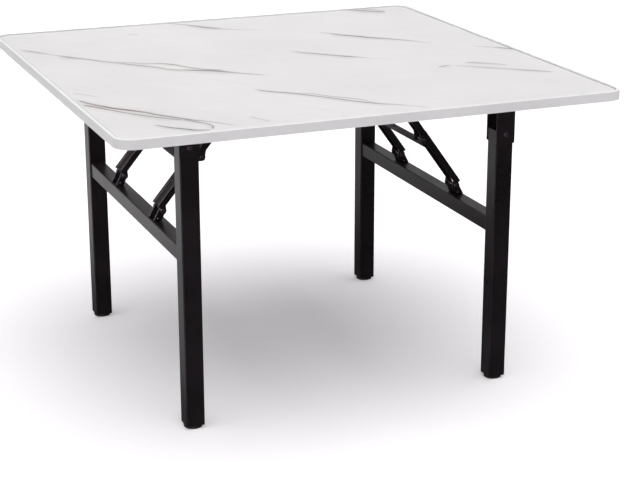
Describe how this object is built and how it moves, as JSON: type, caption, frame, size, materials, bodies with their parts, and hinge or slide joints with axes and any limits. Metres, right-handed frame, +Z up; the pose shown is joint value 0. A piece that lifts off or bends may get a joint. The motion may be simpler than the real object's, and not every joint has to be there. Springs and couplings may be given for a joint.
{
  "type": "folding card table",
  "caption": "Square folding card table with a marble-look top, raised edge, black square-tube leg frames and folding toggle braces.",
  "frame": {"origin": "on the floor, under the middle of the top", "axes": "+Z up; +X from the left leg frame to the right leg frame; +Y from the front edge to the rear edge"},
  "size_m": [1.22, 1.22, 0.762],
  "materials": {
    "board": "raw fibreboard",
    "marble_laminate": "satin marble-look laminate",
    "backing": "plain backing laminate",
    "edge_moulding": "satin pale moulding",
    "black_steel": "black powder coat",
    "black_fasteners": "black finished steel",
    "black_plastic": "black moulded plastic"
  },
  "bodies": {
    "table_top": {"top_board": "board", "top_laminate": "marble_laminate", "underside_laminate": "backing", "edge_band": "edge_moulding", "left_front_hinge_bracket": "black_steel", "left_rear_hinge_bracket": "black_steel", "left_front_brace_bracket": "black_steel", "left_rear_brace_bracket": "black_steel", "left_hinge_bolts": "black_fasteners", "left_hinge_nuts": "black_fasteners", "left_hinge_bracket_screws": "black_fasteners", "left_brace_bracket_screws": "black_fasteners", "left_brace_pivot_rivets": "black_fasteners", "right_front_hinge_bracket": "black_steel", "right_rear_hinge_bracket": "black_steel", "right_front_brace_bracket": "black_steel", "right_rear_brace_bracket": "black_steel", "right_hinge_bolts": "black_fasteners", "right_hinge_nuts": "black_fasteners", "right_hinge_bracket_screws": "black_fasteners", "right_brace_bracket_screws": "black_fasteners", "right_brace_pivot_rivets": "black_fasteners"},
    "left_leg_frame": {"left_front_leg": "black_steel", "left_rear_leg": "black_steel", "left_front_foot": "black_plastic", "left_rear_foot": "black_plastic", "left_front_clevis": "black_steel", "left_rear_clevis": "black_steel", "left_crossbar": "black_steel", "left_clevis_rivets": "black_fasteners", "left_clevis_pivot_rivets": "black_fasteners"},
    "left_lower_arms": {"left_front_lower_arm": "black_steel", "left_rear_lower_arm": "black_steel", "left_tie_bar": "black_steel", "left_knee_rivets": "black_fasteners"},
    "left_upper_arms": {"left_front_upper_arm": "black_steel", "left_rear_upper_arm": "black_steel", "left_knee_pins": "black_fasteners"},
    "right_leg_frame": {"right_front_leg": "black_steel", "right_rear_leg": "black_steel", "right_front_foot": "black_plastic", "right_rear_foot": "black_plastic", "right_front_clevis": "black_steel", "right_rear_clevis": "black_steel", "right_crossbar": "black_steel", "right_clevis_rivets": "black_fasteners", "right_clevis_pivot_rivets": "black_fasteners"},
    "right_lower_arms": {"right_front_lower_arm": "black_steel", "right_rear_lower_arm": "black_steel", "right_tie_bar": "black_steel", "right_knee_rivets": "black_fasteners"},
    "right_upper_arms": {"right_front_upper_arm": "black_steel", "right_rear_upper_arm": "black_steel", "right_knee_pins": "black_fasteners"}
  },
  "joints": [
    {"name": "left_leg_fold", "type": "hinge", "parent": "table_top", "child": "left_leg_frame", "pos_m": [-0.3966, 0, 0.681], "axis": [0, -1, 0], "range_deg": [0, 90]},
    {"name": "left_lower_arm_swing", "type": "hinge", "parent": "left_leg_frame", "child": "left_lower_arms", "pos_m": [-0.3906, 0, 0.4665], "axis": [0, -1, 0], "range_deg": [0, 52.68]},
    {"name": "left_upper_arm_swing", "type": "hinge", "parent": "table_top", "child": "left_upper_arms", "pos_m": [-0.1821, 0, 0.715], "axis": [0, -1, 0], "range_deg": [-27.97, 0]},
    {"name": "right_leg_fold", "type": "hinge", "parent": "table_top", "child": "right_leg_frame", "pos_m": [0.3966, 0, 0.6335], "axis": [0, 1, 0], "range_deg": [0, 90]},
    {"name": "right_lower_arm_swing", "type": "hinge", "parent": "right_leg_frame", "child": "right_lower_arms", "pos_m": [0.3906, 0, 0.4425], "axis": [0, 1, 0], "range_deg": [0, 29.37]},
    {"name": "right_upper_arm_swing", "type": "hinge", "parent": "table_top", "child": "right_upper_arms", "pos_m": [0.1948, 0, 0.715], "axis": [0, 1, 0], "range_deg": [-35.3, 0]}
  ],
  "couplings": [
    {"joint": "left_lower_arm_swing", "follows": "left_leg_fold", "ratio": 0.58481},
    {"joint": "left_upper_arm_swing", "follows": "left_leg_fold", "ratio": -0.31018},
    {"joint": "right_lower_arm_swing", "follows": "right_leg_fold", "ratio": 0.32583},
    {"joint": "right_upper_arm_swing", "follows": "right_leg_fold", "ratio": -0.39165}
  ]
}
